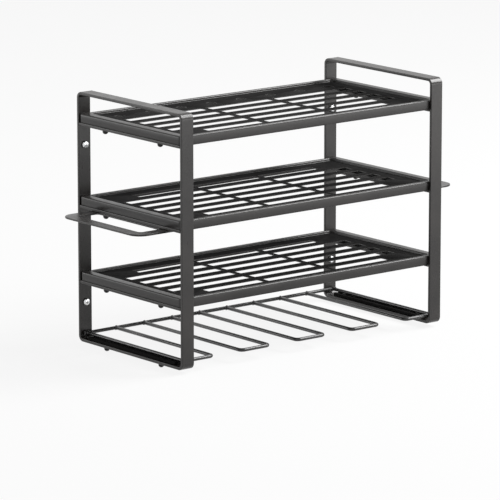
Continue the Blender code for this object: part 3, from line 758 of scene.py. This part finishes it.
def zinc_plate(name, bright, warm, roughness):
    """Plated steel, with soft patches of a warmer tone and fine marks from the tumbling."""
    material, nodes, shader = surface(name, {"Metallic": 1.0})
    cloud = nodes.noise(240, 3, 0.55)
    fine = nodes.noise(3600, 2, 0.6)
    nodes.fill(shader.inputs["Base Color"], nodes.blend(nodes.step(cloud, 0.35, 0.68), bright, warm))
    nodes.fill(shader.inputs["Roughness"], roughness + 0.14 * (cloud - 0.5) + 0.10 * (fine - 0.5))
    nodes.fill(shader.inputs["Normal"], nodes.bump(fine, 0.006 * MM))
    return material


# Pieces

def carved(name, mesh, cutters, sheet=0.0, edge=0.0):
    """The mesh left after a sheet gets its thickness, cutters are taken out and rims are rounded."""
    blank = bpy.data.objects.new(name, mesh)
    bpy.context.scene.collection.objects.link(blank)
    if sheet:
        solid = blank.modifiers.new("sheet", "SOLIDIFY")
        solid.thickness = sheet
        solid.offset = -1
        solid.use_even_offset = True
    spent = [blank]
    for number, shell in enumerate(cutters):
        cutter = bpy.data.objects.new(f"{name}_cutter_{number}", mesh_of(f"{name}_cutter_{number}", shell))
        bpy.context.scene.collection.objects.link(cutter)
        spent.append(cutter)
        boolean = blank.modifiers.new(f"cut_{number}", "BOOLEAN")
        boolean.operation = "DIFFERENCE"
        boolean.solver = "EXACT"
        boolean.object = cutter
    if edge:
        bevel = blank.modifiers.new("edge", "BEVEL")
        bevel.width = edge
        bevel.segments = 2
        bevel.limit_method = "ANGLE"
        bevel.angle_limit = math.radians(50)
    bpy.context.view_layer.update()
    graph = bpy.context.evaluated_depsgraph_get()
    result = bpy.data.meshes.new_from_object(blank.evaluated_get(graph))
    result.name = name
    for used in spent:
        bpy.data.objects.remove(used)
    result.shade_smooth()
    result.set_sharp_from_angle(angle=SHARP_ANGLE)
    return result


def add_piece(name, mesh, nodes, slot):
    """Show a mesh in place of solids, with the finish of a material slot."""
    piece = bpy.data.objects.new(name, mesh)
    bpy.context.scene.collection.objects.link(piece)
    mesh.materials.clear()
    mesh.materials.append(FINISHES[slot])
    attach(piece, "root")
    if nodes:
        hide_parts(*nodes)
    return piece


def holed_bar(node, low, high):
    """A rounded bar with holes for the assembly screws that pass through it."""
    holes = screw_line_cutters(low[2] - CUTTER_REACH, high[2] + CUTTER_REACH)
    return carved(node, mesh_of(node, rounded_block(low, high)), [holes])


def wall_screw_seats():
    """Name and place of each wall screw, on the front of a rear upright."""
    for side, sign in SIDES.items():
        for place, level in (("upper", "top"), ("lower", "lower")):
            z = RIMS[level] - CROSSBAR_DROP - STRIP_THICKNESS - WALL_SCREW_DROP
            yield f"wall_screw_{side}_{place}", (sign * STRIP_CENTRE_X, -STRIP_THICKNESS - GAP, z)


def add_side_frame(side):
    """A side frame, with holes in its bottom bar and in its rear upright."""
    node = side + "_side_frame"
    feet = screw_line_cutters(-STRIP_THICKNESS, STRIP_THICKNESS + CUTTER_REACH)
    hole = upright_prism(circle(0, 0, WALL_SCREW_RADIUS + WALL_HOLE_CLEARANCE, 24),
                         -STRIP_THICKNESS - GAP - CUTTER_REACH, CUTTER_REACH)
    wall_holes = joined(*[facing_front(hole, seat) for _, seat in wall_screw_seats()])
    blank = mesh_of(node, side_frame(SIDES[side] * STRIP_CENTRE_X))
    add_piece(node + "_strip", carved(node, blank, [feet, wall_holes]), [node], "frame_coat")


def add_crossbar(side, level):
    """The bar under one end of a tray, from the front to the rear upright."""
    node = f"{level}_{side}_crossbar"
    x, top = SIDES[side] * STRIP_CENTRE_X, RIMS[level] - CROSSBAR_DROP
    low = (x - STRIP_WIDTH / 2, -DEPTH / 2 - CROSSBAR_HALF, top - STRIP_THICKNESS)
    high = (x + STRIP_WIDTH / 2, -DEPTH / 2 + CROSSBAR_HALF, top)
    add_piece(node + "_bar", holed_bar(node, low, high), [node], "frame_coat")


def add_side_rack(node, side):
    """The flat loop outside a side frame, held under the middle crossbar."""
    top = RIMS["middle"] - CROSSBAR_DROP - STRIP_THICKNESS - GAP
    holes = screw_line_cutters(top - SIDE_LOOP_THICKNESS - CUTTER_REACH, top + CUTTER_REACH)
    plate = carved(node, mesh_of(node, side_loop(SIDES[side], top)), [holes])
    add_piece(node + "_plate", plate, [node], "frame_coat")


def paint_deck_shade(mesh, rim):
    """Give the deck's upper faces, which lie below the tray's rim, painted shade: a darker, nearly
    unreflective copy of the shelf coat.
    """
    count = len(mesh.polygons)
    normals, centres = np.empty(count * 3), np.empty(count * 3)
    mesh.polygons.foreach_get("normal", normals)
    mesh.polygons.foreach_get("center", centres)
    # Upward faces below the rim get the painted shade coat.
    deck = (normals[2::3] > 0.98) & (centres[2::3] < rim - DECK_RECESS / 2)
    mesh.materials.append(FINISHES["painted_shade_coat"])
    mesh.polygons.foreach_set("material_index", deck.astype(np.int32))


def add_shelf(level):
    """A tray, cut by its slots, its round holes and the screw holes in its lips."""
    node, rim = level + "_shelf", RIMS[level]
    foot = rim - FLANGE_HEIGHT
    lips = screw_line_cutters(foot - CUTTER_REACH, foot + SHEET + CUTTER_REACH)
    tray = carved(node, mesh_of(node, shelf_skin(rim)), [slot_cutters(level, rim), lips], SHEET,
                  PRESSED_EDGE)
    add_piece(node + "_tray", tray, [node], "shelf_coat")
    # Painted shade on the deck's upper faces.
    paint_deck_shade(tray, rim)


def add_drill_loop(number, centre_x):
    """One of the open loops of rod at the bottom."""
    node = f"drill_loop_{number}"
    add_piece(node + "_rod", mesh_of(node, drill_loop(centre_x)), [node], "rod_coat")


def add_rear_rod():
    """The straight rod that ties the loops' legs together."""
    node = "drill_rack_rear_rod"
    ends = np.array([(-REAR_ROD_REACH, -ROD_SETBACK, ROD_Z), (REAR_ROD_REACH, -ROD_SETBACK, ROD_Z)])
    path = ends[0] + (ends[1] - ends[0]) * np.linspace(0, 1, 8)[:, None]
    add_piece(node + "_bar", mesh_of(node, rod(path)), [node], "rod_coat")


def add_mount_strip(side):
    """The strip under an outer loop, on a side frame's bottom bar, in the darker, nearly unreflective coat
    that paints shade on it.
    """
    node = f"drill_rack_{side}_strip"
    x, low_z = SIDES[side] * STRIP_CENTRE_X, STRIP_THICKNESS + GAP
    low = (x - MOUNT_STRIP_HALF, -DEPTH + MOUNT_STRIP_SETBACK, low_z)
    high = (x + MOUNT_STRIP_HALF, -MOUNT_STRIP_SETBACK, low_z + MOUNT_STRIP_THICKNESS)
    bar = add_piece(node + "_bar", holed_bar(node, low, high), [node], "rod_coat")
    # Painted shade: the strip takes the darker coat of the decks.
    bar.data.materials[0] = FINISHES["painted_shade_coat"]


def add_assembly_screw(node, length, side, end, seat):
    """A screw from below whose head lies against a seat, on one of the four upright lines."""
    place = (SIDES[side] * SCREW_X, ENDS[end], seat)
    screw = placed(flipped(machine_screw(length)), place)
    add_piece(node + "_turned", mesh_of(node, screw), [node], "black_screw")


def add_shelf_screw(level, side, end):
    """The screw that holds a tray's lip to its crossbar, and its nut on top of the lip."""
    seat = RIMS[level] - CROSSBAR_DROP - STRIP_THICKNESS - GAP
    if level == "middle":
        seat -= SIDE_LOOP_THICKNESS + GAP
    nut_low = RIMS[level] - FLANGE_HEIGHT + SHEET + GAP
    length = nut_low + NUT_HEIGHT + SCREW_PAST_NUT - seat
    add_assembly_screw(f"{level}_shelf_screw_{side}_{end}", length, side, end, seat)
    node = f"{level}_shelf_nut_{side}_{end}"
    nut = placed(hexagon_nut(), (SIDES[side] * SCREW_X, ENDS[end], nut_low))
    add_piece(node + "_cut", mesh_of(node, nut), [node], "zinc_nut")


def add_rack_screw(side, end):
    """The screw that holds a mount strip to a side frame's bottom bar."""
    length = STRIP_THICKNESS + MOUNT_STRIP_THICKNESS + GAP
    add_assembly_screw(f"drill_rack_screw_{side}_{end}", length, side, end, -GAP)


def add_wall_screws():
    """Four copies of one wall screw with a cross in its head."""
    screw = carved("wall_screw", mesh_of("wall_screw", wall_screw()), [cross_recess()])
    points = np.empty(len(screw.vertices) * 3)
    screw.vertices.foreach_get("co", points)
    for node, seat in wall_screw_seats():
        mesh = screw.copy()
        mesh.name = node
        turned_points, _ = facing_front((points.reshape(-1, 3), []), seat)
        mesh.vertices.foreach_set("co", turned_points.ravel())
        mesh.update()
        add_piece(node + "_turned", mesh, [node], "bright_screw")


def add_crossbar_welds(side):
    """Beads under both ends of the three crossbars of one side."""
    x = SIDES[side] * STRIP_CENTRE_X
    beads = []
    for rim in RIMS.values():
        low_z = rim - CROSSBAR_DROP - STRIP_THICKNESS
        for y, inward in ((-DEPTH + STRIP_THICKNESS, 1), (-STRIP_THICKNESS, -1)):
            toward = np.array([0, inward, -1]) / math.sqrt(2)
            y += inward * GAP
            start, finish = (x - CROSSBAR_BEAD_HALF, y, low_z), (x + CROSSBAR_BEAD_HALF, y, low_z)
            beads.append(weld_bead(start, finish, toward, CROSSBAR_BEAD_RADIUS, ripples=10))
    name = side + "_crossbar_welds"
    add_piece(name, mesh_of(name, joined(*beads)), [], "frame_coat")


def add_drill_rack_welds():
    """Short tacks beside the outer loops' outer legs, and collars where all legs meet the rear rod."""
    beads = []
    top = STRIP_THICKNESS + GAP + MOUNT_STRIP_THICKNESS
    for sign in SIDES.values():
        x = sign * (LOOP_CENTRES[-1] + LOOP_HALF - LEG_TACK_INSET)
        toward = np.array([-sign, 0, 1]) / math.sqrt(2)
        for y in (-DEPTH + LEG_TACK_SETBACK, -LEG_TACK_SETBACK):
            start, finish = (x, y - LEG_TACK_HALF, top), (x, y + LEG_TACK_HALF, top)
            beads.append(weld_bead(start, finish, toward, LEG_TACK_RADIUS, ripples=5))
    collars = [rod_collar(x + leg) for x in LOOP_CENTRES for leg in (-LOOP_HALF, LOOP_HALF)]
    add_piece("drill_rack_welds", mesh_of("drill_rack_welds", joined(*beads, *collars)), [], "rod_coat")


# Floor, light and camera

def add_floor(level):
    """A wide pale floor. A camera or a mirror sees it nearly white, and its shadows stay."""
    half = 40
    corners = np.array([(-half, -half), (half, -half), (half, half), (-half, half)], float)
    mesh = bpy.data.meshes.new("floor")
    mesh.from_pydata(np.column_stack([corners, np.full(4, level)]).tolist(), [], [(0, 1, 2, 3)])
    floor = bpy.data.objects.new("floor", mesh)
    bpy.context.scene.collection.objects.link(floor)
    material, nodes, shader = surface("floor_paint", {"Base Color": (0.82, 0.82, 0.82, 1), "Roughness": 0.9,
                                                      "Specular IOR Level": 0.0})
    glow = nodes.add("ShaderNodeEmission", None, {"Color": (1, 1, 1, 1), "Strength": 1.0})
    paint = Socket(nodes, shader.outputs[0])
    mixed = nodes.add("ShaderNodeMixShader", None, {0: FLOOR_GLOW * nodes.seen(), 1: paint, 2: glow})
    output = nodes.tree.nodes["Material Output"]
    nodes.fill(output.inputs["Surface"], mixed)
    mesh.materials.append(material)


def add_world():
    """A white surround for the camera and for mirrors, and a softer one for light on the object."""
    world = bpy.data.worlds.new("studio")
    bpy.context.scene.world = world
    nodes = Nodes(world)
    background = nodes.tree.nodes["Background"]
    background.inputs["Color"].default_value = (1, 1, 1, 1)
    nodes.fill(background.inputs["Strength"], SKY_LIGHT + (1 - SKY_LIGHT) * nodes.seen())


def add_lamp(name, place, size, power, upward=(0, 0, 1)):
    """A soft lamp of a width and a length that faces the rack, its length leaning along a direction."""
    data = bpy.data.lights.new(name, "AREA")
    data.shape = "RECTANGLE"
    data.size, data.size_y = size
    data.energy = power
    lamp = bpy.data.objects.new(name, data)
    back = (Vector(place) - AIM).normalized()
    side = Vector(upward).cross(back).normalized()
    turn = Matrix((side, back.cross(side), back)).transposed().to_4x4()
    lamp.matrix_world = Matrix.Translation(place) @ turn
    bpy.context.scene.collection.objects.link(lamp)


def add_camera():
    """The photograph's view: from the front left and a little above."""
    data = bpy.data.cameras.new("camera")
    data.lens = 304.66
    data.sensor_width = 36
    data.clip_end = 100
    camera = bpy.data.objects.new("camera", data)
    camera.location = (-3.6229, -4.5552, 1.3421)
    camera.rotation_euler = (math.radians(90 - 12.08), 0, math.radians(-39.06))
    bpy.context.scene.collection.objects.link(camera)
    bpy.context.scene.camera = camera


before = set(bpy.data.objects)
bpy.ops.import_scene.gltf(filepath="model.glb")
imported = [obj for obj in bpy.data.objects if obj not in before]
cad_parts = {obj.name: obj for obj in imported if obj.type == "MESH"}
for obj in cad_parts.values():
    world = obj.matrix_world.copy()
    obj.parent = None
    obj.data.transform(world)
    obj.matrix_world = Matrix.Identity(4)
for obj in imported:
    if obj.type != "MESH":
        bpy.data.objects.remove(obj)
cad_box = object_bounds()

FINISHES = {
    "frame_coat": powder_coat("frame_powder_coat", (0.0125, 0.0108, 0.0100, 1), (0.0205, 0.0178, 0.0162, 1),
                              roughness=0.30, shine=0.48, grain=0.018 * MM),
    "shelf_coat": powder_coat("shelf_powder_coat", (0.0118, 0.0106, 0.0099, 1), (0.0190, 0.0170, 0.0158, 1),
                              roughness=0.33, shine=0.42, grain=0.020 * MM),
    # Painted shade: a darker, nearly unreflective copy of the coat, used on the decks and the mount strips.
    "painted_shade_coat": powder_coat("painted_shade_powder_coat", (0.010, 0.0098, 0.0098, 1), (0.016, 0.0156, 0.0155, 1),
                             roughness=0.70, shine=0.02, grain=0.022 * MM),
    "rod_coat": powder_coat("rod_powder_coat", (0.0110, 0.0106, 0.0103, 1), (0.0180, 0.0174, 0.0168, 1),
                            roughness=0.27, shine=0.50, grain=0.014 * MM),
    "black_screw": black_oxide(),
    "zinc_nut": zinc_plate("zinc_plated_nut", (0.66, 0.68, 0.72, 1), (0.60, 0.58, 0.52, 1),
                           roughness=0.30),
    "bright_screw": zinc_plate("bright_plated_screw", (0.78, 0.79, 0.81, 1), (0.70, 0.70, 0.69, 1),
                               roughness=0.22),
}

for side in SIDES:
    add_side_frame(side)
    for level in RIMS:
        add_crossbar(side, level)
add_side_rack("hammer_rack", "left")
add_side_rack("pliers_rack", "right")
for level in RIMS:
    add_shelf(level)
for number, centre_x in enumerate(LOOP_CENTRES, 1):
    add_drill_loop(number, centre_x)
add_rear_rod()
for side in SIDES:
    add_mount_strip(side)
for side in SIDES:
    for end in ENDS:
        for level in RIMS:
            add_shelf_screw(level, side, end)
        add_rack_screw(side, end)
add_wall_screws()
for side in SIDES:
    add_crossbar_welds(side)
add_drill_rack_welds()

add_floor(cad_box[0][2] - 0.2 * MM)
add_world()
add_lamp("key", place=(2.05, -1.16, 2.216), size=(1.25, 2.25), power=135, upward=(0, 0.862, 0.506))
add_lamp("front_box", place=(1.85, -2.5, 0.16), size=(2.2, 0.3), power=13)
add_lamp("side_box", place=(-2.0, 2.3, 0.40), size=(1.6, 0.6), power=16)
add_camera()

scene = bpy.context.scene
scene.view_settings.view_transform = "Standard"
